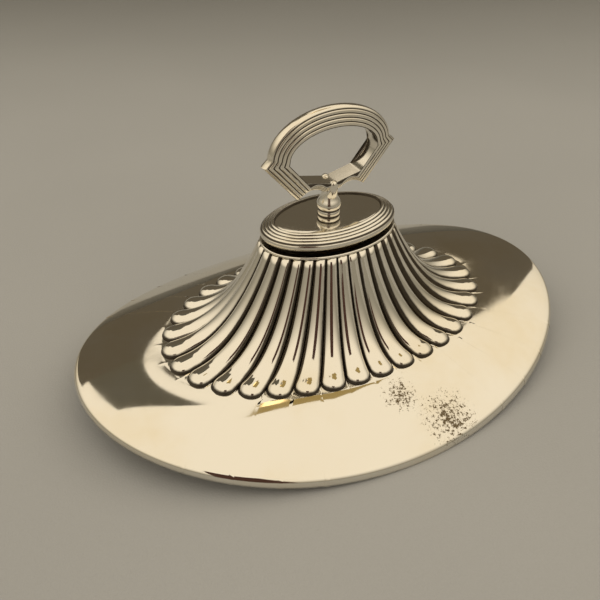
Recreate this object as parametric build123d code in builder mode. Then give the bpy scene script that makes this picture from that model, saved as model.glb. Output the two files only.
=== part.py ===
"""Boat-shaped oval cover of a serving piece in plated sheet, with a twist-off loop handle.

The cover stands on its rim. X runs along the oval, Y across it and Z up.
The origin is under the middle of the neck, level with the lowest points of the rim.
All sizes are in millimetres.
"""

import os
from math import asin, cos, degrees, hypot, pi, radians, sin, sqrt

from build123d import *

# ---------------------------------------------------------------- cover, driving sizes
cover_length = 180.0
cover_width = 129.0
rim_sweep = 12.0  # rise of the rim from the middle of a side to an end
edge_height = 2.4  # height of the turned-down edge
edge_round = 1.6  # round of the turn
wall = 1.0  # thickness of the raised sheet

flute_count = 34
flute_relief = 0.28  # height of a flute over its groove, as a share of its width
groove_width = 0.25  # flat at the bottom of a groove
tip_length = 122.0  # oval that the flutes' round tips reach
tip_width = 79.4
tip_height = 14.6
crown_swell = 0.8  # how far the ends of the skirt swell over a straight line

neck_length = 46.2  # oval of the grooves at the top of the cone
neck_width = 30.8
neck_height = 48.8  # top of the deck
cone_power = 2.5  # how hollow the flare of the cone is

# ---------------------------------------------------------------- deck and bayonet socket
deck_thickness = 1.0
deck_lip = 0.9  # reach of the deck's rounded edge past the grooves
deck_round = 0.45
hub_radius = 7.95
running_clearance = 0.05
socket_thickness = 1.5
socket_radius = 11.0
spindle_radius = 2.2
pin_radius = 1.5
pin_length = 13.6
slot_clearance = 0.3
pin_play = 0.1  # between the locked pin and the socket plate
stop_radius = 1.0
stop_reach = 5.5  # from the axis to the middle of a stop
stop_height = 2.4
stop_play = 0.15

# ---------------------------------------------------------------- flange under the skirt
flange_inset = 7.0  # from the rim to the flange's outer face
flange_thickness = 1.0
flange_lift = 0.3  # its lower edge over the rim's

# ---------------------------------------------------------------- boss
boss_length = 47.8
boss_width = 31.8
boss_seam = 1.9  # open seam between the deck and the boss
base_member_height = 2.2  # plain round member under the reeds
base_member_round = 0.7
border_reeds = 4
reed_run = 1.1  # width of one reed
reed_rise = 0.65
reed_bulge = 0.22
border_wall = 4.5  # from the boss's outline in to the wall round its plates
plate_level = 3.8  # top of the boss plate over the boss's lower edge
plate_thickness = 0.8
base_thickness = 1.0
seat_clearance = 0.05
hub_play = 0.2  # between the hub and the socket plate
nut_width = 8.0  # across flats
nut_thickness = 2.1
nut_pocket = 5.2  # radius of the pocket in the hub
washer_thickness = 0.35
washer_width = 2.6
washer_play = 0.1

# ---------------------------------------------------------------- stem
collar_radius = 3.9
collar_height = 1.5
knop_radius = 4.05
knop_height = 4.2  # middle of the knop over the boss plate
stem_height = 8.9
stem_top_radius = 2.3
thread_depth = 3.6

# ---------------------------------------------------------------- loop
loop_reach = 23.3  # from the axis to the point of an ear
ear_rise = 12.6  # of the ears over the stem's top
arc_reach = 21.2
arc_height = 14.0
corner_reach = 12.2
corner_drop = 0.6  # of the lower corners under the stem's top
arch_reach = 6.3
arch_rise = 1.6
hole_reach = 15.7
hole_height = 9.2
hole_shoulder = 10.0
hole_floor = 3.2  # lowest point of the hole over the stem's top
loop_reeds = 5
loop_reed = 1.15  # width of one reed of the loop
crown_half = 1.4  # half thickness of the loop at its outer reed
loop_half = 3.2  # half thickness of the loop at the hole

# ---------------------------------------------------------------- derived places
cone_top = neck_height - deck_thickness
boss_foot = neck_height + boss_seam
plate_top = boss_foot + plate_level
stem_top = plate_top + stem_height
socket_foot = cone_top - socket_thickness
pin_height = socket_foot - pin_play - pin_radius
cone_height = cone_top - tip_height
block_foot = -4.0
oval_points = 12


# ---------------------------------------------------------------- cover shell
def skirt_oval(share, sink):
    """Oval of the skirt's surface, share running from 0 at the flute tips to 1 at the rim."""
    half_x = (tip_length + (cover_length - tip_length) * share) / 2
    half_y = (tip_width + (cover_width - tip_width) * share) / 2
    side = tip_height + (edge_height - tip_height) * share**1.25
    end = tip_height + (rim_sweep + edge_height - tip_height) * share
    end += 4 * crown_swell * share * (1 - share)
    points = []
    for step in range(oval_points):
        turn = 2 * pi * step / oval_points
        height = side + (end - side) * cos(turn) ** 2 - sink
        points.append((half_x * cos(turn), half_y * sin(turn), height))
    with BuildLine() as oval:
        Spline(*points, periodic=True)
    return oval.wire()


def flat_oval(half_x, half_y, height):
    """Level oval."""
    return Wire([Edge.make_ellipse(half_x, half_y, Plane.XY.offset(height))])


def skirt_block(inset):
    """Solid under the skirt, inset by the sheet's thickness to give the space inside it."""
    inner = flat_oval(tip_length / 2 - 12, tip_width / 2 - 8, tip_height + 0.3 - inset)
    outer = flat_oval(cover_length / 2 + 50, cover_width / 2 + 6, block_foot - inset)
    shares = (0.0, 0.35, 0.7, 1.05)
    crown = Solid.make_loft([inner, *(skirt_oval(share, inset) for share in shares), outer])
    with BuildPart() as block:
        add(crown)
        with BuildSketch(Plane.XY.offset(block_foot - inset)):
            Ellipse(cover_length / 2 - inset, cover_width / 2 - inset)
        extrude(amount=tip_height * 3, mode=Mode.INTERSECT)
        swept_edge = block.edges().sort_by(SortBy.LENGTH)[-1]
        fillet(swept_edge, edge_round - inset / 2)
    return block.part


neck_oval = Edge.make_ellipse(neck_length / 2, neck_width / 2)
tip_oval = Edge.make_ellipse(tip_length / 2, tip_width / 2)
neck_pitch = neck_oval.length / flute_count
tip_pitch = tip_oval.length / flute_count


def flute_section(number, body, turn=0.0):
    """Left edge, crest and right edge of one flute.

    body runs from 0 at the neck to 1 where the round tip starts, and turn goes round the tip.
    """
    place = (number + 0.5) / flute_count
    start = neck_oval.position_at(place)
    path = tip_oval.position_at(place) - start
    tip_share = tip_pitch / 2 / path.length
    share = (1 - tip_share) * body + tip_share * sin(turn)
    rest = 1 - share
    out = path.normalized()
    fall = cone_height * cone_power * rest ** (cone_power - 1) / path.length
    normal = (out * fall + Vector(0, 0, 1)).normalized() if body else out
    across = Vector(0, 0, 1).cross(out)
    width = neck_pitch + (tip_pitch - neck_pitch) * share
    half = (width - groove_width) / 2 * cos(turn)
    bed = start + path * share + Vector(0, 0, tip_height + cone_height * rest**cone_power)
    bed -= normal * 0.5 * share**6
    crest = bed + normal * flute_relief * width * cos(turn) ** 0.8
    return bed - across * half, crest, bed + across * half


def flute_ring(sections):
    """Closed outline through all flutes at one place along them."""
    with BuildLine() as ring:
        for section, following in zip(sections, sections[1:] + sections[:1]):
            ThreePointArc(*section)
            Line(section[2], following[0])
    return ring.wire()


def fluted_cone():
    """Hollow-sided cone of round flutes that widen downwards and end in round tips."""
    rings = []
    for body, turn in ((0, 0), (0.22, 0), (0.48, 0), (0.75, 0), (1, 0), (1, 45)):
        numbers = range(flute_count)
        rings.append(flute_ring([flute_section(n, body, radians(turn)) for n in numbers]))
    ends = []
    for number in range(flute_count):
        left, crest, right = flute_section(number, 1, radians(78))
        out = Vector(crest.X, crest.Y).normalized() * 0.3
        low = tip_height - 2.2
        ends.append([Vector(p.X, p.Y, low) for p in (left, (left + right) / 2 + out, right)])
    rings.append(flute_ring(ends))
    return Solid.make_loft(rings, ruled=True)


def hollow():
    """Space inside the cover."""
    with BuildPart() as space:
        for share in (-0.03, 0.2, 0.4, 0.6, 0.85):
            half_x = (neck_length + (tip_length - neck_length) * share) / 2
            half_y = (neck_width + (tip_width - neck_width) * share) / 2
            fall = cone_height * cone_power * (1 - share) ** (cone_power - 1)
            run = (tip_length + tip_width - neck_length - neck_width) / 4
            slant = hypot(fall, run)
            level = tip_height + cone_height * (1 - share) ** cone_power - wall * run / slant
            if share > 0.8:
                level -= wall
            aside = wall * fall / slant
            with BuildSketch(Plane.XY.offset(level)):
                Ellipse(half_x - aside, half_y - aside)
        loft(ruled=True)
        add(skirt_block(wall))
    return space.part


def rim_cutter(lift=0.0):
    """Everything under the swept line of the rim."""
    reach = cover_length * 0.6
    high = rim_sweep * (2 * reach / cover_length) ** 2
    with BuildPart() as cutter:
        with BuildSketch(Plane.XZ):
            with BuildLine():
                Bezier((-reach, lift + high), (0, lift - high), (reach, lift + high))
                Polyline((reach, lift + high), (reach, -30), (-reach, -30), (-reach, lift + high))
            make_face()
        extrude(amount=cover_width, both=True)
    return cutter.part


outer_skirt = skirt_block(0.0)
cone = fluted_cone()
inside = hollow()
rim_waste = rim_cutter()
with BuildPart() as cover_shell:
    add(outer_skirt)
    add(cone)
    add(inside, mode=Mode.SUBTRACT)
    add(rim_waste, mode=Mode.SUBTRACT)
cover_shell.part.label = "cover_shell"

# ---------------------------------------------------------------- flange
# It follows the sweep of the rim and sits the cover in the mouth of its vessel.
flange_waste = rim_cutter(flange_lift)
with BuildPart() as flange:
    with BuildSketch(Plane.XY.offset(block_foot)):
        Ellipse(cover_length / 2 - flange_inset, cover_width / 2 - flange_inset)
        inner = flange_inset + flange_thickness
        Ellipse(cover_length / 2 - inner, cover_width / 2 - inner, mode=Mode.SUBTRACT)
    extrude(amount=tip_height * 2)
    add(inside, mode=Mode.INTERSECT)
    add(flange_waste, mode=Mode.SUBTRACT)
flange.part.label = "flange"

# ---------------------------------------------------------------- deck
with BuildPart() as deck:
    with BuildSketch(Plane.XY.offset(cone_top)):
        Ellipse(neck_length / 2 + deck_lip, neck_width / 2 + deck_lip)
        Circle(hub_radius + running_clearance, mode=Mode.SUBTRACT)
    extrude(amount=deck_thickness)
    outline = deck.edges().sort_by(SortBy.LENGTH)[-2:]
    fillet(outline, deck_round)
deck.part.label = "deck"

# ---------------------------------------------------------------- bayonet socket
# Two stops under the plate let the cross pin turn a quarter, from across the slot to along it.
stop_swing = degrees(asin((pin_radius + stop_radius + stop_play) / stop_reach))
with BuildPart() as socket_plate:
    with BuildSketch(Plane.XY.offset(socket_foot)):
        Circle(socket_radius)
        Circle(spindle_radius + slot_clearance, mode=Mode.SUBTRACT)
        slot_length = pin_length + 2 * slot_clearance
        SlotOverall(slot_length, 2 * (pin_radius + slot_clearance), rotation=90, mode=Mode.SUBTRACT)
    extrude(amount=socket_thickness)
    with BuildSketch(Plane.XY.offset(socket_foot)):
        for bearing in (-stop_swing, stop_swing - 90):
            with PolarLocations(stop_reach, 1, bearing):
                Circle(stop_radius)
    extrude(amount=-stop_height)
socket_plate.part.label = "socket_plate"


# ---------------------------------------------------------------- boss
boss_oval = Edge.make_ellipse(boss_length / 2, boss_width / 2, Plane.XY.offset(boss_foot))
plate_inset = border_wall + seat_clearance
plate_points = []
for step in range(24):
    turn = 2 * pi * step / 24
    across = boss_width / 2 * cos(turn)
    along = boss_length / 2 * sin(turn)
    inset_x = plate_inset * across / hypot(across, along)
    inset_y = plate_inset * along / hypot(across, along)
    point = (boss_length / 2 * cos(turn) - inset_x, boss_width / 2 * sin(turn) - inset_y)
    plate_points.append(point)

with BuildPart() as boss_border:
    with BuildLine() as boss_path:
        add(boss_oval)
    with BuildSketch(Plane.XZ):
        with BuildLine():
            outer = boss_length / 2
            start = (outer - border_wall, boss_foot)
            heel = (outer - base_member_round, boss_foot)
            waist = (outer - base_member_round, boss_foot + base_member_height)
            Line(start, heel)
            ThreePointArc(heel, (outer, boss_foot + base_member_height / 2), waist)
            slope = hypot(reed_run, reed_rise)
            for reed in range(border_reeds):
                low = (waist[0] - reed * reed_run, waist[1] + reed * reed_rise)
                high = (low[0] - reed_run, low[1] + reed_rise)
                crest_x = (low[0] + high[0]) / 2 + reed_bulge * reed_rise / slope
                crest_z = (low[1] + high[1]) / 2 + reed_bulge * reed_run / slope
                ThreePointArc(low, (crest_x, crest_z), high)
            Line(high, (high[0], plate_top))
            Line((high[0], plate_top), (start[0], plate_top))
            Line((start[0], plate_top), start)
        make_face()
    sweep(path=boss_path)
boss_border.part.label = "boss_border"

with BuildPart() as boss_plate:
    with BuildSketch(Plane.XY.offset(plate_top - plate_thickness)):
        with BuildLine():
            Spline(*plate_points, periodic=True)
        make_face()
        Circle(spindle_radius, mode=Mode.SUBTRACT)
    extrude(amount=plate_thickness)
boss_plate.part.label = "boss_plate"

# The hub is the pivot: it turns in the deck's round hole.
base_foot = boss_foot + 0.2
with BuildPart() as boss_base:
    with BuildSketch(Plane.XY.offset(base_foot)):
        with BuildLine():
            Spline(*plate_points, periodic=True)
        make_face()
    extrude(amount=base_thickness)
    with BuildSketch(Plane.XY.offset(cone_top + hub_play)):
        Circle(hub_radius)
    extrude(until=Until.NEXT)
    with BuildSketch(Plane.XY.offset(cone_top + hub_play)):
        Circle(nut_pocket)
    extrude(amount=base_foot - cone_top - hub_play, mode=Mode.SUBTRACT)
    with Locations((0, 0, base_foot)):
        Hole(spindle_radius)
boss_base.part.label = "boss_base"

with BuildPart() as clamp_nut:
    with BuildSketch(Plane.XY.offset(base_foot - nut_thickness)):
        RegularPolygon(nut_width / 2, 6, major_radius=False)
        Circle(spindle_radius, mode=Mode.SUBTRACT)
    extrude(amount=nut_thickness)
clamp_nut.part.label = "clamp_nut"

washer_foot = neck_height + washer_play
washer_rise = base_foot - washer_foot - washer_thickness
with BuildPart() as spring_washer:
    with BuildSketch(Plane.XZ):
        near = hub_radius + 0.3
        far = near + washer_width
        with BuildLine():
            Polyline(
                (near, base_foot - washer_thickness),
                (near, base_foot),
                (far, washer_foot + washer_thickness),
                (far, washer_foot),
                close=True,
            )
        make_face()
    revolve(axis=Axis.Z)
spring_washer.part.label = "spring_washer"

# ---------------------------------------------------------------- spindle and cross pin
spindle_foot = pin_height - pin_radius - 0.8
with BuildPart() as spindle:
    with BuildSketch(Plane.XY.offset(spindle_foot)):
        Circle(spindle_radius)
    extrude(amount=plate_top + thread_depth - spindle_foot)
    chamfer(spindle.edges().sort_by(Axis.Z)[0], 0.4)
    with BuildSketch(Plane.YZ):
        with Locations((0, pin_height)):
            Circle(pin_radius)
    extrude(amount=spindle_radius * 2, both=True, mode=Mode.SUBTRACT)
spindle.part.label = "spindle"

with BuildPart() as cross_pin:
    with BuildSketch(Plane.YZ):
        with Locations((0, pin_height)):
            Circle(pin_radius)
    extrude(amount=pin_length / 2, both=True)
    fillet(cross_pin.edges().filter_by(GeomType.CIRCLE), 0.4)
cross_pin.part.label = "cross_pin"

# ---------------------------------------------------------------- stem
knop_level = plate_top + knop_height
with BuildPart() as stem:
    with BuildSketch(Plane.XZ):
        with BuildLine():
            collar_edge = collar_radius - 0.4
            Line((0, plate_top), (collar_edge, plate_top))
            ThreePointArc(
                (collar_edge, plate_top),
                (collar_radius, plate_top + collar_height / 2),
                (collar_edge, plate_top + collar_height),
            )
            neck = (knop_radius - 0.9, plate_top + collar_height + 0.5)
            Line((collar_edge, plate_top + collar_height), neck)
            shoulder = (stem_top_radius + 0.9, knop_level + 2.2)
            ThreePointArc(neck, (knop_radius, knop_level), shoulder)
            Line(shoulder, (stem_top_radius, stem_top))
            Line((stem_top_radius, stem_top), (0, stem_top))
            Line((0, stem_top), (0, plate_top))
        make_face()
    revolve(axis=Axis.Z)
    with BuildSketch(Plane.XY.offset(plate_top)):
        Circle(spindle_radius)
    extrude(amount=thread_depth, mode=Mode.SUBTRACT)
stem.part.label = "stem"


# ---------------------------------------------------------------- loop handle
def loop_outline(depth):
    """Face inside the loop's outline at a depth below its outer reed, mitred at every corner."""
    ear = (loop_reach - 1.32 * depth, stem_top + ear_rise)
    corner = (corner_reach - 0.67 * depth, stem_top - corner_drop + 0.75 * depth)
    arch_top = (arch_reach, stem_top + arch_rise + 0.6 * depth)
    arch_end = (spindle_radius + 0.6, stem_top + 0.6 * depth)
    reach = arc_reach - depth
    rise = arc_height - depth
    arc_level = ear[1] + 1.0
    with BuildSketch(Plane.XZ) as face:
        with BuildLine():
            top_arc = EllipticalCenterArc((0, arc_level), reach, rise, 4, arc_size=86)
            Line(top_arc @ 0, ear)
            Line(ear, corner)
            ThreePointArc(corner, arch_top, arch_end)
            Line(arch_end, (0, arch_end[1]))
            Line((0, arch_end[1]), top_arc @ 1)
        make_face()
        mirror(about=Plane.YZ)
    return face.sketch


def finger_hole():
    """Face of the finger hole: an oval over a shallow pointed floor."""
    level = stem_top + ear_rise
    shoulder = (hole_shoulder, stem_top + hole_floor + 2.3)
    with BuildSketch(Plane.XZ) as face:
        with BuildLine():
            top_arc = EllipticalCenterArc((0, level), hole_reach, hole_height, 0, arc_size=90)
            ThreePointArc(top_arc @ 0, (hole_reach - 1.7, level - 4.8), shoulder)
            Line(shoulder, (0, stem_top + hole_floor))
            Line((0, stem_top + hole_floor), top_arc @ 1)
        make_face()
        mirror(about=Plane.YZ)
    return face.sketch


reed_outlines = [loop_outline(reed * loop_reed) for reed in range(loop_reeds)]
hole_outline = finger_hole()
with BuildPart() as loop:
    for reed, outline in enumerate(reed_outlines):
        step = sqrt(reed / (loop_reeds - 1))
        extrude(outline, amount=crown_half + (loop_half - crown_half) * step, both=True)
    extrude(hole_outline, amount=loop_half * 2, both=True, mode=Mode.SUBTRACT)
loop.part.label = "loop"

os.makedirs("parts", exist_ok=True)
for piece in (
    cover_shell, flange, deck, socket_plate, boss_border, boss_plate, boss_base,
    clamp_nut, spring_washer, spindle, cross_pin, stem, loop,
):
    export_step(piece.part, f"parts/{piece.part.label}.step")
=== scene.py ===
"""Looks of the oval serving cover: fluted skin, reeded boss and loop, worn silver plate, cloth and studio."""

from bisect import bisect_right
from math import atan2, cos, hypot, pi, radians, sin, sqrt

import bmesh
import bpy
from mathutils import Matrix, Vector


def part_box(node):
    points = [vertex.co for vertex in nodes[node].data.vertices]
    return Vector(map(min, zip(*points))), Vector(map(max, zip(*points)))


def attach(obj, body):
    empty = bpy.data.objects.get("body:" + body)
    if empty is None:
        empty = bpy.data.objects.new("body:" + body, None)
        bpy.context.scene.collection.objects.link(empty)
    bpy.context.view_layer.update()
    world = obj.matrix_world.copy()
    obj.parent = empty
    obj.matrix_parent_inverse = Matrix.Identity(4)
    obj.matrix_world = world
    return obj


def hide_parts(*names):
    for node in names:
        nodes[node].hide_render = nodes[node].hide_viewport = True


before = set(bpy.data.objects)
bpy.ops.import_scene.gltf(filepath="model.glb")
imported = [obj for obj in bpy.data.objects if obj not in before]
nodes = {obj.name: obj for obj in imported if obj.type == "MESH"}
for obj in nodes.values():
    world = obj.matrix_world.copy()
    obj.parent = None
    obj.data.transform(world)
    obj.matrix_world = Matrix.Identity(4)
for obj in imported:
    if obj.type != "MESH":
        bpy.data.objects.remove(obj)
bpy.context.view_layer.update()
MM = 0.001

# ------------------------------------------------------------------ sizes read from the frame
shell_low, shell_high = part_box("cover_shell")
border_low, border_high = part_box("boss_border")
plate_low, plate_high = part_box("boss_plate")
deck_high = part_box("deck")[1]
stem_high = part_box("stem")[1]
loop_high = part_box("loop")[1]

half_length = shell_high.x
half_width = shell_high.y
cone_top = shell_high.z
seat_level = shell_low.z

# ------------------------------------------------------------------ sizes of the cover's skin
sheet = 0.8 * MM
flute_count = 34
flute_relief = 0.27  # height of a flute over its width
groove_width = 0.3 * MM
deck_lip = 0.9 * MM
neck_x = deck_high.x - deck_lip
neck_y = deck_high.y - deck_lip
tip_x = half_length * 0.6778
tip_y = half_width * 0.6155
tip_level = 14.6 * MM
cone_rise = cone_top - tip_level
cone_power = 2.5  # over 1, so that the cone flares at its foot

rim_sweep = 12.0 * MM
edge_height = 2.4 * MM
edge_round = 1.7 * MM
crown_swell = 0.8 * MM
side_fall = 1.25  # over 1, so that the long sides stay full before they fall
skirt_start = 0.025  # shares of the skirt between which its rings are even
skirt_end = 0.945
tip_blend = ((0.12, 0.6), (0.4, 0.0), (0.75, 0.0))  # share of the way to skirt_start, share of groove

flute_steps = 12
body_steps = 26
tip_steps = 8
skirt_steps = 14
edge_steps = 6

# ------------------------------------------------------------------ sizes of the boss
border_crown = border_high.z - 0.6 * MM
border_wall = 4.5 * MM
border_reeds = 4
border_reed = 1.0 * MM
border_bulge = 0.30 * MM
member_height = 2.2 * MM
member_out = 0.75 * MM
plate_inset = 4.78 * MM
plate_crown = plate_high.z + 0.12 * MM

# ------------------------------------------------------------------ sizes of the loop
loop_foot = stem_high.z
ear_level = loop_foot + 12.6 * MM
arc_level = ear_level + 1.0 * MM
arc_half = 21.2 * MM
corner_x, corner_drop = 12.2 * MM, 0.6 * MM
arch_rise, arch_end = 1.6 * MM, 2.8 * MM
ear_mitre = 1.32  # how far each line moves in or up for a depth of 1 under the outer reed
corner_in, corner_up = 0.67, 0.75
arch_nest = 0.45

hole_half, hole_rise = 15.7 * MM, 9.2 * MM
shoulder_x, shoulder_rise = 10.1 * MM, 5.5 * MM
hole_floor = 3.2 * MM

crown_half = 1.75 * MM
crown_round = 0.95 * MM
crown_edge = 1.05 * MM
loop_reeds = 4
loop_reed = 1.25 * MM
loop_lap = 0.98  # each reed is lapped a little by the next
loop_bulge = 0.27 * MM

arc_steps = 24
side_steps = 8


# ------------------------------------------------------------------ curves
def full_turn(count):
    """Angles of count even steps round a circle."""
    return [2 * pi * step / count for step in range(count)]


def oval_points(half_x, half_y, count, first=0.0):
    """Points spaced evenly along an oval's outline, anticlockwise from its +X end, and its length."""
    steps = 1440
    dense = [(half_x * cos(2 * pi * i / steps), half_y * sin(2 * pi * i / steps)) for i in range(steps + 1)]
    run = [0.0]
    for before, after in zip(dense, dense[1:]):
        run.append(run[-1] + hypot(after[0] - before[0], after[1] - before[1]))
    points = []
    for number in range(count):
        target = run[-1] * (number + first) / count
        at = min(bisect_right(run, target) - 1, steps - 1)
        part = (target - run[at]) / (run[at + 1] - run[at])
        x = dense[at][0] + (dense[at + 1][0] - dense[at][0]) * part
        y = dense[at][1] + (dense[at + 1][1] - dense[at][1]) * part
        points.append(Vector((x, y, 0)))
    return points, run[-1]


def bend(start, corner, end, part):
    """Place on the quadratic curve from start to end that is drawn towards the corner."""
    return start * (1 - part) ** 2 + corner * 2 * part * (1 - part) + end * part**2


def reed_arc(start, run, rise, width, bulge, steps, narrow):
    """Points of one round reed after start, each with its share of groove.

    width is the reed's own width, which sets the way it bulges, and a higher narrow gives thinner grooves.
    """
    points = []
    slope = hypot(width, rise)
    for step in range(1, steps + 1):
        part = step / steps
        swell = bulge * sqrt(max(0.0, 1 - (2 * part - 1) ** 2))
        inset = start[0] + run * part - swell * rise / slope
        level = start[1] + rise * part + swell * width / slope
        points.append((inset, level, abs(2 * part - 1) ** narrow))
    return points


# ------------------------------------------------------------------ mesh helpers
def skin(name, rings, marks, closed=False, capped=False, crease=40):
    """Surface drawn through closed rings of points: each ring is extruded from the one before.

    marks gives each point's share of groove, which the materials read for their patina.
    """
    mesh = bmesh.new()
    groove = mesh.verts.layers.float.new("groove")
    rows = [list(bmesh.ops.create_circle(mesh, segments=len(rings[0]), radius=1)["verts"])]
    edges = list(mesh.edges)
    for _ in rings[1:]:
        grown = bmesh.ops.extrude_edge_only(mesh, edges=edges)["geom"]
        fresh = {item for item in grown if isinstance(item, bmesh.types.BMVert)}
        edges = [e for e in grown if isinstance(e, bmesh.types.BMEdge) and all(v in fresh for v in e.verts)]
        row = []
        for old in rows[-1]:
            row += [e.other_vert(old) for e in old.link_edges if e.other_vert(old) in fresh]
        rows.append(row)
    for row, points, shares in zip(rows, rings, marks):
        for vert, point, share in zip(row, points, shares):
            vert.co = point
            vert[groove] = share
    if closed:
        last = [mesh.edges.get((a, b)) for a, b in zip(rows[-1], rows[-1][1:] + rows[-1][:1])]
        start = [mesh.edges.get((a, b)) for a, b in zip(rows[0], rows[0][1:] + rows[0][:1])]
        bmesh.ops.bridge_loops(mesh, edges=last + start)
    if capped:
        bmesh.ops.holes_fill(mesh, edges=[e for e in mesh.edges if e.is_boundary], sides=0)
    bmesh.ops.recalc_face_normals(mesh, faces=mesh.faces)
    return finish_mesh(name, mesh, crease)


def finish_mesh(name, mesh, crease=40):
    """Object made from a bmesh, smooth but for edges sharper than the crease angle."""
    for face in mesh.faces:
        face.smooth = True
    for edge in mesh.edges:
        edge.smooth = edge.calc_face_angle(0.0) < radians(crease)
    data = bpy.data.meshes.new(name)
    mesh.to_mesh(data)
    mesh.free()
    piece = bpy.data.objects.new(name, data)
    bpy.context.scene.collection.objects.link(piece)
    return piece


# ------------------------------------------------------------------ cover skin
def skirt_half_axes(share):
    """Half length and half width of the skirt's plan at a share of the way from the tips to the rim."""
    return tip_x + (half_length - tip_x) * share, tip_y + (half_width - tip_y) * share


def skirt_point(share, turn):
    """Point of the plain skirt, share running from 0 at the flute tips to 1 at the rim."""
    out = max(share, 0.0)
    side = tip_level + (edge_height - tip_level) * out**side_fall
    end = tip_level + (rim_sweep + edge_height - tip_level) * out + 4 * crown_swell * out * (1 - out)
    height = side + (end - side) * cos(turn) ** 2
    x, y = skirt_half_axes(share)
    return Vector((x * cos(turn), y * sin(turn), height + seat_level))


def skirt_place(point):
    """Share and turn of the skirt at a point of the plan, found by halving."""
    low, high = -0.6, 1.0
    for _ in range(30):
        share = (low + high) / 2
        x, y = skirt_half_axes(share)
        if (point.x / x) ** 2 + (point.y / y) ** 2 > 1:
            low = share
        else:
            high = share
    return share, atan2(point.y / y, point.x / x)


def flute_rings():
    """Rings of the cone from the neck to the round tips of its flutes, and their shares of groove."""
    starts, neck_run = oval_points(neck_x, neck_y, flute_count, 0.5)
    ends, tip_run = oval_points(tip_x, tip_y, flute_count, 0.5)
    neck_pitch = neck_run / flute_count
    tip_pitch = tip_run / flute_count
    bearings = [radians(-90 + 180 * step / flute_steps) for step in range(flute_steps + 1)]
    stations = [(step / body_steps, 0.0) for step in range(body_steps + 1)]
    stations += [(1.0, radians(90 * step / tip_steps)) for step in range(1, tip_steps + 1)]
    rings, marks = [], []
    for body, swing in stations:
        ring, shares = [], []
        for start, end in zip(starts, ends):
            path = end - start
            out = path.normalized()
            across = Vector((-out.y, out.x, 0))
            tip_share = tip_pitch / 2 / path.length
            for bearing in bearings:
                round_off = cos(bearing)
                share = (1 - tip_share) * body + tip_share * sin(swing) * round_off
                rest = 1 - share
                width = neck_pitch + (tip_pitch - neck_pitch) * share
                fall = cone_rise * cone_power * rest ** (cone_power - 1) / path.length
                normal = (out * fall + Vector((0, 0, 1))).normalized() if body else out
                lift = flute_relief * width * round_off * cos(swing)
                point = start + path * share + across * (width - groove_width) / 2 * sin(bearing)
                point.z = tip_level + cone_rise * rest**cone_power + seat_level
                ring.append(point + normal * lift)
                shares.append(1 - round_off * cos(swing))
        rings.append(ring)
        marks.append(shares)
    return rings, marks


def skirt_rings(outline):
    """Rings of the skirt from the outline of the tips to the foot of the turned-down edge."""
    places = [skirt_place(point) for point in outline]
    plain = [0.0] * len(places)
    rings, marks = [], []
    for step, mark in tip_blend:
        ring = []
        for (share, turn), tip in zip(places, outline):
            point = skirt_point(share + (skirt_start - share) * step, turn)
            point.z += (tip.z - skirt_point(share, turn).z) * (1 - step) ** 2
            ring.append(point)
        rings.append(ring)
        marks.append([mark] * len(ring))
    for step in range(skirt_steps + 1):
        share = skirt_start + (skirt_end - skirt_start) * step / skirt_steps
        rings.append([skirt_point(share, turn) for _, turn in places])
        marks.append(plain)
    brink = rings[-1]
    for step in range(1, edge_steps + 1):
        ring = []
        for inner, (_, turn) in zip(brink, places):
            corner = skirt_point(1.0, turn)
            ring.append(bend(inner, corner, corner - Vector((0, 0, edge_round)), step / edge_steps))
        rings.append(ring)
        marks.append(plain)
    rings.append([point - Vector((0, 0, edge_height - edge_round)) for point in rings[-1]])
    marks.append(plain)
    return rings, marks


def cover_skin():
    """Raised sheet of the cover: flutes with round tips, plain swept skirt and turned-down edge."""
    cone, cone_marks = flute_rings()
    skirt, skirt_marks = skirt_rings(cone[-1])
    piece = skin("cover_skin", cone + skirt, cone_marks + skirt_marks, crease=60)
    wall = piece.modifiers.new("sheet", "SOLIDIFY")
    wall.thickness = sheet
    wall.offset = -1.0
    wall.use_rim = True
    return piece


# ------------------------------------------------------------------ boss
def border_point(turn, inset, level):
    """Point that lies inside the border's oval by inset, at a level."""
    across = Vector((border_high.y * cos(turn), border_high.x * sin(turn), 0)).normalized()
    return Vector((border_high.x * cos(turn), border_high.y * sin(turn), level)) - across * inset


def boss_border():
    """Oval border of the boss: a round member at the foot and reeds rising to the plate."""
    foot = border_low.z
    rise = (border_crown - foot - member_height) / border_reeds
    profile = [(border_wall, foot, 0.6), (member_out + 0.4 * MM, foot, 0.8)]
    for step in range(9):
        swing = radians(-90 + 180 * step / 8)
        level = foot + member_height / 2 * (1 + sin(swing))
        profile.append((member_out * (1 - cos(swing)), level, abs(sin(swing)) ** 6))
    for reed in range(border_reeds):
        start = (member_out + reed * border_reed, foot + member_height + reed * rise)
        profile += reed_arc(start, border_reed, rise, border_reed, border_bulge, 8, 5)
    lip = profile[-1][0]
    profile.append((lip + 0.1 * MM, border_crown - 0.2 * MM, 0.9))
    profile.append((lip + 0.1 * MM, plate_high.z - 0.3 * MM, 1.0))
    profile.append((lip, plate_low.z, 1.0))
    turns = full_turn(192)
    rings = [[border_point(turn, inset, level) for turn in turns] for inset, level, _ in profile]
    marks = [[mark] * len(turns) for _, _, mark in profile]
    return skin("boss_reeding", rings, marks, closed=True, crease=50)


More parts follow.
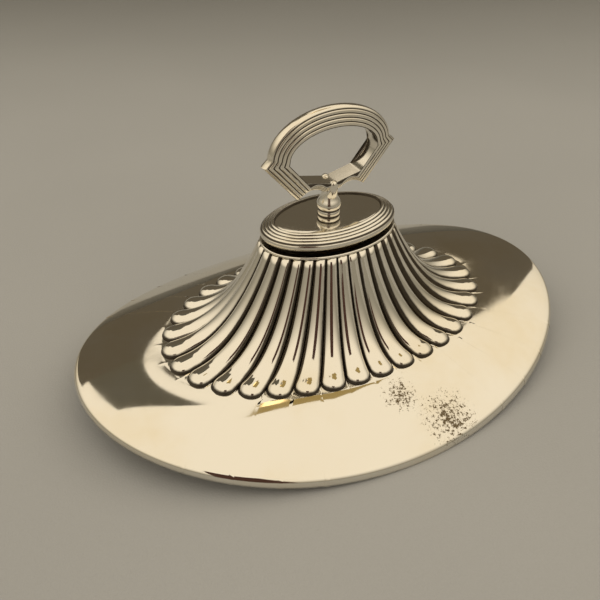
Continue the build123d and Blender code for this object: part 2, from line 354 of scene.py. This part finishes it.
def boss_disc():
    """Polished oval plate inside the border, flat in the middle and falling softly to its edge."""
    falls = (  # mm in from the edge, mm under the crown, share of groove
        (0.0, 0.9, 1.0), (0.0, 0.28, 0.3), (0.3, 0.17, 0.0), (0.9, 0.1, 0.0),
        (2.0, 0.045, 0.0), (3.6, 0.015, 0.0), (5.5, 0.0, 0.0), (8.0, 0.0, 0.0),
    )
    turns = full_turn(128)
    rings, marks = [], []
    for inward, fall, mark in falls:
        middle = Vector((0, 0, plate_crown - fall * MM))
        share = inward * MM / border_high.y
        rings.append([border_point(turn, plate_inset, middle.z).lerp(middle, share) for turn in turns])
        marks.append([mark] * len(turns))
    return skin("boss_disc", rings, marks, capped=True)


# ------------------------------------------------------------------ stem
def turned_stem():
    """Baluster between the boss plate and the loop."""
    outline = (  # mm of radius, mm over the plate, share of groove
        (2.2, 0.0, 1), (3.7, 0.0, 1), (3.86, 0.3, 0.4), (3.9, 1.0, 0), (3.8, 1.65, 0.1), (3.52, 1.9, 0.9),
        (3.45, 2.05, 1), (3.78, 2.35, 0.4), (4.1, 2.9, 0), (4.25, 3.5, 0), (4.15, 4.2, 0), (3.85, 4.9, 0),
        (3.5, 5.4, 0.15), (3.2, 5.9, 0.15), (2.9, 6.6, 0), (2.6, 7.4, 0), (2.35, 8.2, 0), (2.25, 8.8, 0.2),
    )
    belly = max(radius for radius, _, _ in outline)
    height = outline[-1][1]
    widen = min(stem_high.x / belly, MM)
    lift = (stem_high.z - plate_crown) / height
    turns = full_turn(64)
    rings, marks = [], []
    for radius, rise, mark in outline:
        reach = radius * widen
        rings.append([Vector((reach * cos(t), reach * sin(t), plate_crown + rise * lift)) for t in turns])
        marks.append([mark] * len(turns))
    return skin("turned_stem", rings, marks, capped=True, crease=45)


def stem_rib(side):
    """Round rib that carries the stem up one face of the loop to a small nub."""
    path = (  # mm out from the middle, mm over the stem, mm of radius
        (0.9, -3.0, 1.7), (1.6, -1.6, 1.75), (2.2, -0.2, 1.65), (2.5, 1.2, 1.5), (2.6, 2.4, 1.45),
        (2.6, 3.0, 1.35), (2.6, 3.5, 1.1), (2.6, 3.85, 0.7), (2.6, 4.0, 0.2),
    )
    turns = full_turn(32)
    rings, marks = [], []
    for out, rise, radius in path:
        centre = Vector((0, side * out * MM, stem_high.z + rise * MM))
        rings.append([centre + Vector((cos(t), sin(t), 0)) * radius * MM for t in turns])
        marks.append([0.0] * len(turns))
    return skin("stem_rib", rings, marks, capped=True, crease=60)


# ------------------------------------------------------------------ loop handle
def loop_half_outline(depth):
    """Right half of the loop's outline at a depth under its outer reed, from crown to foot."""
    ear = Vector((loop_high.x - ear_mitre * depth, 0, ear_level))
    corner = Vector((corner_x - corner_in * depth, 0, loop_foot - corner_drop + corner_up * depth))
    arch_foot = loop_foot + arch_nest * depth
    arch_top = (arch_foot + arch_rise) * 2 - (corner.z + arch_foot) / 2
    arc_x = arc_half - depth
    arc_z = loop_high.z - arc_level - depth
    points = []
    for step in range(arc_steps + 1):
        turn = radians(90 - 86 * step / arc_steps)
        points.append(Vector((arc_x * cos(turn), 0, arc_level + arc_z * sin(turn))))
    points.append(points[-1].lerp(ear, 0.5))
    points.append(ear)
    points += [ear.lerp(corner, step / side_steps) for step in range(1, side_steps + 1)]
    for step in range(1, side_steps + 1):
        part = step / side_steps
        x = corner.x + (arch_end - corner.x) * part
        points.append(Vector((x, 0, bend(corner.z, arch_top, arch_foot, part))))
    points.append(Vector((0, 0, arch_foot)))
    return points


def hole_half_outline():
    """Right half of the finger hole, with as many points as the loop's outline."""
    shoulder = Vector((shoulder_x, 0, loop_foot + shoulder_rise))
    floor = Vector((0, 0, loop_foot + hole_floor))
    points = []
    for step in range(arc_steps + 1):
        turn = radians(90 - 92 * step / arc_steps)
        points.append(Vector((hole_half * cos(turn), 0, ear_level + hole_rise * sin(turn))))
    side = points[-1]
    corner = Vector((hole_half - 0.2 * MM, 0, ear_level - 4.6 * MM))
    points += [bend(side, corner, shoulder, step / 10) for step in range(1, 11)]
    points += [shoulder.lerp(floor, step / 9) for step in range(1, 10)]
    return points


def whole_outline(half, y):
    """Closed ring from a right half, mirrored to the left."""
    right = [Vector((p.x, y, p.z)) for p in half]
    left = [Vector((-p.x, y, p.z)) for p in reversed(half[1:-1])]
    return right + left


def reeded_loop():
    """Loop handle with mitred reeds on both faces and a plain wall round the finger hole."""
    half_depth = loop_high.y
    rise = (half_depth - crown_half) / loop_reeds
    run = loop_reed * loop_lap
    profile = [(0.0, 0.0, 0.0)]
    for swing in (22, 45, 65, 80):
        depth = crown_round * (1 - cos(radians(swing)))
        profile.append((depth, crown_half * sin(radians(swing)), 0.0))
    profile.append((crown_edge, crown_half, 1.0))
    for reed in range(loop_reeds):
        start = (crown_edge + reed * run, crown_half + reed * rise)
        for depth, y, mark in reed_arc(start, run, rise, loop_reed, loop_bulge, 6, 4):
            profile.append((depth, min(y, half_depth), mark))
    hole = hole_half_outline()
    front = [(whole_outline(loop_half_outline(depth), -y), mark) for depth, y, mark in profile]
    back = [(whole_outline(loop_half_outline(depth), y), mark) for depth, y, mark in profile[1:]]
    walls = ((-0.97, 0.2), (-0.9, 0.0), (0.0, 0.0), (0.9, 0.0), (0.97, 0.2))
    inside = [(whole_outline(hole, half_depth * share), mark) for share, mark in walls]
    rows = front + inside + back[::-1]
    rings = [ring for ring, _ in rows]
    marks = [[mark] * len(ring) for ring, mark in rows]
    return skin("reeded_loop", rings, marks, closed=True, crease=38)


# ------------------------------------------------------------------ shader helpers
def node_group(name, inputs, outputs):
    """Empty shader group with its sockets."""
    group = bpy.data.node_groups.new(name, "ShaderNodeTree")
    for label, kind, value in inputs:
        socket = group.interface.new_socket(label, in_out="INPUT", socket_type=kind)
        if value is not None:
            socket.default_value = value
    for label, kind in outputs:
        group.interface.new_socket(label, in_out="OUTPUT", socket_type=kind)
    return group, group.nodes.new("NodeGroupInput"), group.nodes.new("NodeGroupOutput")


def feed(tree, socket, value):
    """Value, colour or link on a node's input."""
    if isinstance(value, (int, float, tuple)):
        socket.default_value = value
    else:
        tree.links.new(value, socket)


def maths(tree, operation, a, b, clamp=False):
    """Math node with sockets or numbers on its inputs."""
    node = tree.nodes.new("ShaderNodeMath")
    node.operation = operation
    node.use_clamp = clamp
    feed(tree, node.inputs[0], a)
    feed(tree, node.inputs[1], b)
    return node.outputs[0]


def mixed(tree, share, a, b):
    """Colour mix of two sockets or colours."""
    node = tree.nodes.new("ShaderNodeMix")
    node.data_type = "RGBA"
    feed(tree, node.inputs[0], share)
    feed(tree, node.inputs[6], a)
    feed(tree, node.inputs[7], b)
    return node.outputs[2]


def noise_texture(tree, vector, scale, detail, rough, stretch=0.0):
    """Noise on object coordinates."""
    node = tree.nodes.new("ShaderNodeTexNoise")
    node.inputs["Scale"].default_value = scale
    node.inputs["Detail"].default_value = detail
    node.inputs["Roughness"].default_value = rough
    node.inputs["Distortion"].default_value = stretch
    tree.links.new(vector, node.inputs["Vector"])
    return node.outputs["Fac"]


def ramp(tree, value, low, high):
    """Smooth step of a value between two thresholds."""
    node = tree.nodes.new("ShaderNodeMapRange")
    node.interpolation_type = "SMOOTHSTEP"
    node.inputs["From Min"].default_value = low
    node.inputs["From Max"].default_value = high
    tree.links.new(value, node.inputs["Value"])
    return node.outputs["Result"]


def relieve(tree, shader, height, strength):
    """Fine relief on a material's surface."""
    relief = tree.nodes.new("ShaderNodeBump")
    relief.inputs["Distance"].default_value = 0.4 * MM
    relief.inputs["Strength"].default_value = strength
    tree.links.new(height, relief.inputs["Height"])
    tree.links.new(relief.outputs["Normal"], shader.inputs["Normal"])


def plain_material(name):
    """New material, its node tree and its Principled shader."""
    material = bpy.data.materials.new(name)
    material.use_nodes = True
    tree = material.node_tree
    return material, tree, tree.nodes["Principled BSDF"]


def object_place(tree):
    """Object coordinates."""
    return tree.nodes.new("ShaderNodeTexCoord").outputs["Object"]


# ------------------------------------------------------------------ shader groups
def plate_wear_group():
    """Tone, roughness and fine relief of rubbed silver plate."""
    group, given, made = node_group(
        "plate_wear",
        [
            ("Vector", "NodeSocketVector", None),
            ("Plate", "NodeSocketColor", (0.85, 0.81, 0.72, 1)),
            ("Worn", "NodeSocketColor", (0.78, 0.68, 0.48, 1)),
            ("Polish", "NodeSocketFloat", 0.07),
            ("Haze", "NodeSocketFloat", 0.08),
        ],
        [("Color", "NodeSocketColor"), ("Roughness", "NodeSocketFloat"), ("Height", "NodeSocketFloat")],
    )
    vector = given.outputs["Vector"]
    clouds = ramp(group, noise_texture(group, vector, 26, 4, 0.6), 0.42, 0.75)
    cloud_share = maths(group, "MULTIPLY", clouds, 0.55)
    colour = mixed(group, cloud_share, given.outputs["Plate"], given.outputs["Worn"])
    rubbing = ramp(group, noise_texture(group, vector, 60, 5, 0.7, 0.6), 0.35, 0.8)
    rough = maths(group, "MULTIPLY", rubbing, given.outputs["Haze"])
    rough = maths(group, "ADD", rough, given.outputs["Polish"])
    ripple = noise_texture(group, vector, 38, 2, 0.4)
    group.links.new(colour, made.inputs["Color"])
    group.links.new(rough, made.inputs["Roughness"])
    group.links.new(ripple, made.inputs["Height"])
    return group


def patina_group():
    """Dark brown oxide left in grooves, from the share of groove at a place."""
    group, given, made = node_group(
        "groove_patina",
        [
            ("Vector", "NodeSocketVector", None),
            ("Groove", "NodeSocketFloat", 0.0),
            ("Start", "NodeSocketFloat", 0.55),
            ("Strength", "NodeSocketFloat", 0.9),
        ],
        [("Mask", "NodeSocketFloat")],
    )
    ragged = noise_texture(group, given.outputs["Vector"], 420, 4, 0.7)
    shift = maths(group, "MULTIPLY", maths(group, "SUBTRACT", ragged, 0.5), 0.22)
    value = maths(group, "ADD", given.outputs["Groove"], shift)
    over = maths(group, "SUBTRACT", value, given.outputs["Start"])
    mask = maths(group, "MULTIPLY", over, 5.0, clamp=True)
    mask = maths(group, "MULTIPLY", mask, given.outputs["Strength"])
    group.links.new(mask, made.inputs["Mask"])
    return group


def speckle_group():
    """Scattered tarnish specks, thicker inside a patch round a centre."""
    group, given, made = node_group(
        "tarnish_specks",
        [
            ("Vector", "NodeSocketVector", None),
            ("Centre", "NodeSocketVector", (0, 0, 0)),
            ("Reach", "NodeSocketFloat", 0.006),
        ],
        [("Mask", "NodeSocketFloat")],
    )
    away = group.nodes.new("ShaderNodeVectorMath")
    away.operation = "DISTANCE"
    group.links.new(given.outputs["Vector"], away.inputs[0])
    group.links.new(given.outputs["Centre"], away.inputs[1])
    far_share = maths(group, "DIVIDE", away.outputs["Value"], given.outputs["Reach"])
    near = maths(group, "SUBTRACT", 1.0, far_share, clamp=True)
    grit = noise_texture(group, given.outputs["Vector"], 900, 3, 0.8)
    mask = ramp(group, maths(group, "ADD", grit, maths(group, "MULTIPLY", near, 0.22)), 0.62, 0.72)
    group.links.new(maths(group, "MULTIPLY", mask, ramp(group, near, 0.02, 0.3)), made.inputs["Mask"])
    return group


plate_wear = plate_wear_group()
groove_patina = patina_group()
tarnish_specks = speckle_group()

# ------------------------------------------------------------------ colours
silver = (0.86, 0.82, 0.73)
worn_silver = (0.80, 0.70, 0.50)
oxide_brown, oxide_dullness = (0.035, 0.022, 0.012, 1), 0.45
speck_brown, speck_dullness = (0.16, 0.12, 0.07, 1), 0.4
pale_cloth = (0.52, 0.53, 0.54, 1)
dark_cloth = (0.40, 0.41, 0.42, 1)
# colour of the painted shade that darkens the cloth towards the back
painted_shade_cloth = (0.17, 0.17, 0.16, 1)
sky_low = (0.30, 0.27, 0.21, 1)
sky_high = (1.0, 0.89, 0.71, 1)

speck_patches = [((0.0004, -0.0468, 0.0121), 0.0075), ((0.012, -0.0575, 0.0065), 0.012)]  # centre, reach


# ------------------------------------------------------------------ metals
def metal(name, plate, worn, polish, haze, patina_start=None, patina=0.9, bump=0.02, specks=()):
    """Plated or plain metal with wear, patina in its grooves and, where given, patches of specks."""
    material, tree, shader = plain_material(name)
    shader.inputs["Metallic"].default_value = 1.0
    place = object_place(tree)
    wear = tree.nodes.new("ShaderNodeGroup")
    wear.node_tree = plate_wear
    tree.links.new(place, wear.inputs["Vector"])
    wear.inputs["Plate"].default_value = (*plate, 1)
    wear.inputs["Worn"].default_value = (*worn, 1)
    wear.inputs["Polish"].default_value = polish
    wear.inputs["Haze"].default_value = haze
    colour, rough = wear.outputs["Color"], wear.outputs["Roughness"]
    masks = []
    if patina_start is not None:
        tag = tree.nodes.new("ShaderNodeAttribute")
        tag.attribute_name = "groove"
        oxide = tree.nodes.new("ShaderNodeGroup")
        oxide.node_tree = groove_patina
        tree.links.new(place, oxide.inputs["Vector"])
        tree.links.new(tag.outputs["Fac"], oxide.inputs["Groove"])
        oxide.inputs["Start"].default_value = patina_start
        oxide.inputs["Strength"].default_value = patina
        masks.append((oxide.outputs["Mask"], oxide_brown, oxide_dullness))
    for centre, reach in specks:
        dots = tree.nodes.new("ShaderNodeGroup")
        dots.node_tree = tarnish_specks
        tree.links.new(place, dots.inputs["Vector"])
        dots.inputs["Centre"].default_value = centre
        dots.inputs["Reach"].default_value = reach
        masks.append((dots.outputs["Mask"], speck_brown, speck_dullness))
    for mask, tone, dullness in masks:
        colour = mixed(tree, mask, colour, tone)
        rough = maths(tree, "ADD", rough, maths(tree, "MULTIPLY", mask, dullness))
    tree.links.new(colour, shader.inputs["Base Color"])
    tree.links.new(rough, shader.inputs["Roughness"])
    relieve(tree, shader, wear.outputs["Height"], bump)
    return material


def dress(piece, material):
    """One material over the whole piece."""
    piece.data.materials.clear()
    piece.data.materials.append(material)


cover_plate = metal(
    "cover_plate", silver, worn_silver, polish=0.05, haze=0.06,
    patina_start=0.45, patina=0.92, bump=0.05, specks=speck_patches,
)
reed_plate = metal("reed_plate", silver, worn_silver, polish=0.12, haze=0.10, patina_start=0.2, bump=0.03)
boss_polish = metal("boss_polish", silver, worn_silver, polish=0.06, haze=0.06, bump=0.03)
inner_plate = metal("inner_plate", (0.66, 0.62, 0.53), (0.5, 0.42, 0.28), polish=0.2, haze=0.12)
nickel = metal("turned_nickel", (0.55, 0.52, 0.46), (0.42, 0.36, 0.26), polish=0.28, haze=0.12)
spring_brass = metal("spring_brass", (0.62, 0.45, 0.2), (0.36, 0.25, 0.12), polish=0.3, haze=0.15)

# ------------------------------------------------------------------ pieces
cover = cover_skin()
dress(cover, cover_plate)
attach(cover, "cover")
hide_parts("cover_shell")

border = boss_border()
dress(border, reed_plate)
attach(border, "handle")
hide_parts("boss_border")

stem = turned_stem()
dress(stem, reed_plate)
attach(stem, "handle")
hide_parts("stem")

disc = boss_disc()
dress(disc, boss_polish)
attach(disc, "handle")
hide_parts("boss_plate")

for side, label in ((-1, "front"), (1, "back")):
    rib = stem_rib(side)
    rib.name = "stem_rib_" + label
    dress(rib, reed_plate)
    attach(rib, "handle")

loop = reeded_loop()
dress(loop, reed_plate)
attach(loop, "handle")
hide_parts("loop")

for name, finish in (
    ("deck", boss_polish),
    ("flange", inner_plate),
    ("socket_plate", nickel),
    ("boss_base", nickel),
    ("clamp_nut", nickel),
    ("spindle", nickel),
    ("cross_pin", nickel),
    ("spring_washer", spring_brass),
):
    dress(nodes[name], finish)


# ------------------------------------------------------------------ floor
def cloth_floor():
    """Plain cloth under the cover, rising softly a good way behind it, and darkened there by painted shade.
    """
    away = Vector((0.46, 0.887, 0))
    rise_from = 0.55
    mesh = bmesh.new()
    bmesh.ops.create_grid(mesh, x_segments=60, y_segments=60, size=1.6)
    for vert in mesh.verts:
        back = max(0.0, vert.co.dot(away) - rise_from)
        vert.co.z = seat_level + 0.5 * back**2
    floor = finish_mesh("cloth_floor", mesh)
    material, tree, shader = plain_material("grey_cloth")
    shader.inputs["Roughness"].default_value = 0.95
    shader.inputs["Specular IOR Level"].default_value = 0.1
    place = object_place(tree)
    weave = noise_texture(tree, place, 1500, 2, 0.6)
    folds = noise_texture(tree, place, 5, 2, 0.5)
    tone = maths(tree, "ADD", maths(tree, "MULTIPLY", weave, 0.35), maths(tree, "MULTIPLY", folds, 0.65))
    colour = mixed(tree, tone, dark_cloth, pale_cloth)
    reach = tree.nodes.new("ShaderNodeVectorMath")
    reach.operation = "DOT_PRODUCT"
    tree.links.new(place, reach.inputs[0])
    reach.inputs[1].default_value = away
    # painted shade: the cloth is darkened towards the back, where the light falls off
    painted_shade_share = ramp(tree, reach.outputs["Value"], 0.14, 0.62)
    colour = mixed(tree, maths(tree, "MULTIPLY", painted_shade_share, 0.75), colour, painted_shade_cloth)
    tree.links.new(colour, shader.inputs["Base Color"])
    relieve(tree, shader, weave, 0.25)
    dress(floor, material)


cloth_floor()

# ------------------------------------------------------------------ light
world = bpy.data.worlds.new("studio")
bpy.context.scene.world = world
world.use_nodes = True
sky = world.node_tree
background = sky.nodes["Background"]
direction = sky.nodes.new("ShaderNodeTexCoord").outputs["Generated"]
apart = sky.nodes.new("ShaderNodeSeparateXYZ")
sky.links.new(direction, apart.inputs[0])
overhead = ramp(sky, apart.outputs["Z"], 0.05, 0.72)
sky.links.new(mixed(sky, overhead, sky_low, sky_high), background.inputs["Color"])
background.inputs["Strength"].default_value = 1.0


def studio_panel(name, bearing, height, distance, colour):
    """Panel of the studio round the cover, between two bearings from +Y and two heights in degrees.

    It shows in reflections and takes light away, but the camera doesn't see it.
    """
    mesh = bmesh.new()
    bmesh.ops.create_grid(mesh, x_segments=12, y_segments=12, size=0.5)
    for vert in mesh.verts:
        turn = radians(bearing[0] + (bearing[1] - bearing[0]) * (vert.co.x + 0.5))
        rise = radians(height[0] + (height[1] - height[0]) * (vert.co.y + 0.5))
        vert.co = Vector((sin(turn) * cos(rise), cos(turn) * cos(rise), sin(rise))) * distance
    panel = finish_mesh(name, mesh)
    material, _, shader = plain_material(name)
    shader.inputs["Base Color"].default_value = (0, 0, 0, 1)
    shader.inputs["Roughness"].default_value = 1.0
    shader.inputs["Specular IOR Level"].default_value = 0.0
    shader.inputs["Emission Color"].default_value = (*colour, 1)
    shader.inputs["Emission Strength"].default_value = 1.0
    dress(panel, material)
    panel.visible_camera = False


studio_panel("dark_wall", (-14, 63), (2, 39), 1.3, (0.115, 0.095, 0.066))
studio_panel("dark_door", (-8, 12), (38, 56), 1.3, (0.12, 0.105, 0.075))
studio_panel("dark_figure", (-168, -140), (6, 58), 0.9, (0.07, 0.035, 0.025))
studio_panel("amber_shade", (19, 72), (62, 74), 1.2, (0.38, 0.27, 0.1))
studio_panel("amber_lamp", (20, 27), (62, 68), 1.1, (2.2, 1.6, 0.75))

# ------------------------------------------------------------------ camera
lens = bpy.data.cameras.new("camera")
camera = bpy.data.objects.new("camera", lens)
bpy.context.scene.collection.objects.link(camera)
lens.sensor_width = 36
lens.lens = 42.02
azimuth, elevation, roll = radians(-27.49), radians(36.86), radians(-0.42)
back = Vector((sin(azimuth) * cos(elevation), -cos(azimuth) * cos(elevation), sin(elevation)))
camera.location = (-0.1010, -0.1734, 0.1692)
upright = back.to_track_quat("Z", "Y").to_matrix()
camera.rotation_euler = (upright @ Matrix.Rotation(roll, 3, "Z")).to_euler()
bpy.context.scene.camera = camera

bpy.context.scene.view_settings.view_transform = "Standard"
